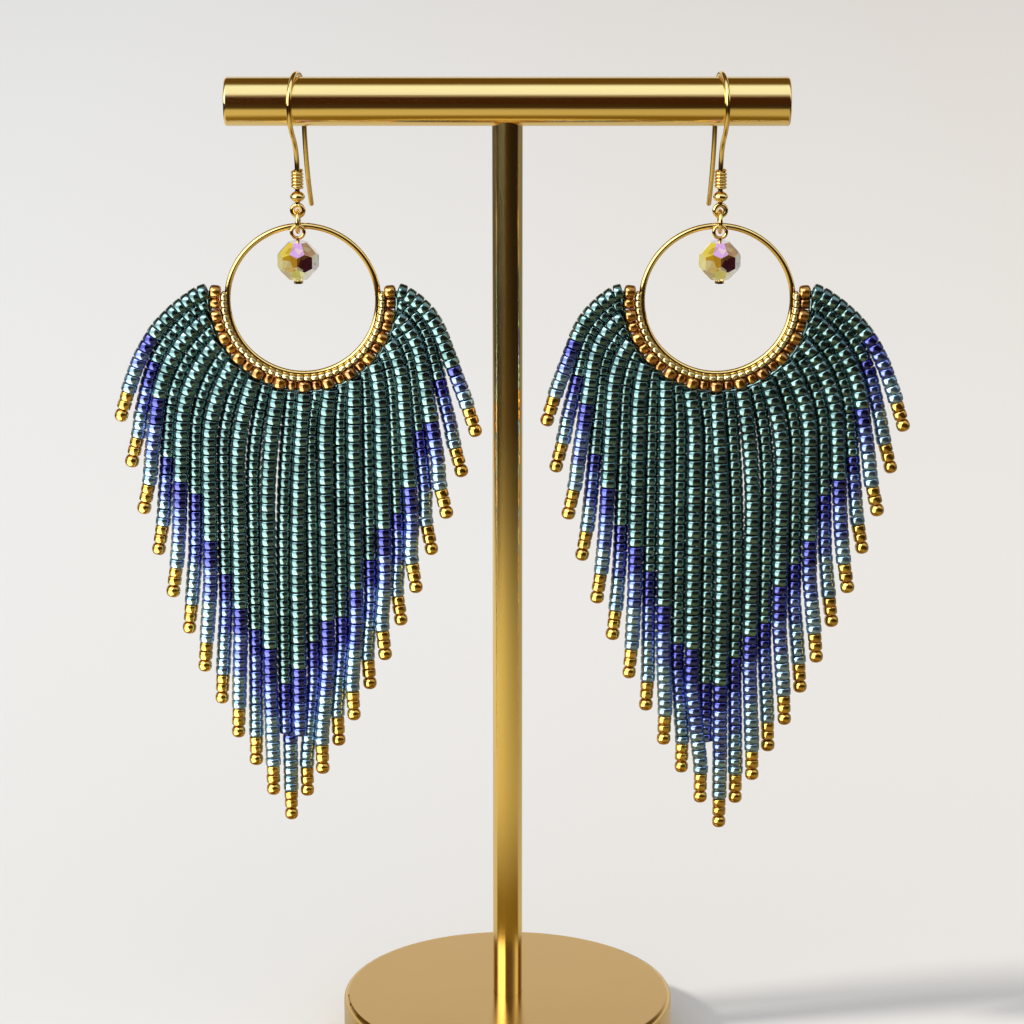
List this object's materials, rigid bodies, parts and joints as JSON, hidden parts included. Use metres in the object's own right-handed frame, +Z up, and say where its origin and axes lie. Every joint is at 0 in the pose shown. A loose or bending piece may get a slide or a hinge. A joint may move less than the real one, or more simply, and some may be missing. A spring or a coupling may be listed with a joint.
{
  "type": "pair of fringe earrings on a t-bar stand",
  "caption": "Beaded fringe earrings with round hoops, faceted drops and ear hooks, hanging as a pair on a plain gold T-bar display stand with a round base.",
  "frame": {"origin": "under the middle of the round base, on the surface it stands on", "axes": "+Z up along the post, +X along the bar to the viewer's right, +Y away from the viewer"},
  "size_m": [0.1296, 0.0556, 0.165],
  "materials": {
    "base_metal": "satin gold",
    "stand_metal": "fine brushed gold",
    "gold_wire": "polished gold",
    "pale_gold_beads": "pale gold metal-lined beads",
    "amber_beads": "amber silver-lined beads",
    "teal_beads": "dark teal silver-lined beads",
    "navy_beads": "navy silver-lined beads",
    "violet_blue_beads": "violet-blue silver-lined beads",
    "pale_blue_beads": "pale blue silver-lined beads",
    "gold_beads": "gold plated beads",
    "cut_crystal": "faceted crystal with an iridescent coat"
  },
  "bodies": {
    "stand": {"stand_base": "base_metal", "stand_post": "stand_metal", "stand_bar": "stand_metal", "ear_hook_left": "gold_wire", "hook_coil_left": "gold_wire", "hook_ball_left": "gold_wire", "ear_hook_right": "gold_wire", "hook_coil_right": "gold_wire", "hook_ball_right": "gold_wire"},
    "left_drop": {"jump_ring_left": "gold_wire", "hoop_left": "gold_wire", "bead_band_left": "amber_beads", "fringe_left": "teal_beads", "drop_bead_left": "cut_crystal", "drop_pin_left": "gold_wire"},
    "right_drop": {"jump_ring_right": "gold_wire", "hoop_right": "gold_wire", "bead_band_right": "amber_beads", "fringe_right": "teal_beads", "drop_bead_right": "cut_crystal", "drop_pin_right": "gold_wire"}
  },
  "joints": [
    {"name": "left_swing", "type": "hinge", "parent": "stand", "child": "left_drop", "pos_m": [-0.0337, 0, 0.1417], "axis": [1, 0, 0], "range_deg": [-45, 45]},
    {"name": "right_swing", "type": "hinge", "parent": "stand", "child": "right_drop", "pos_m": [0.0342, 0, 0.1417], "axis": [1, 0, 0], "range_deg": [-45, 45]}
  ]
}
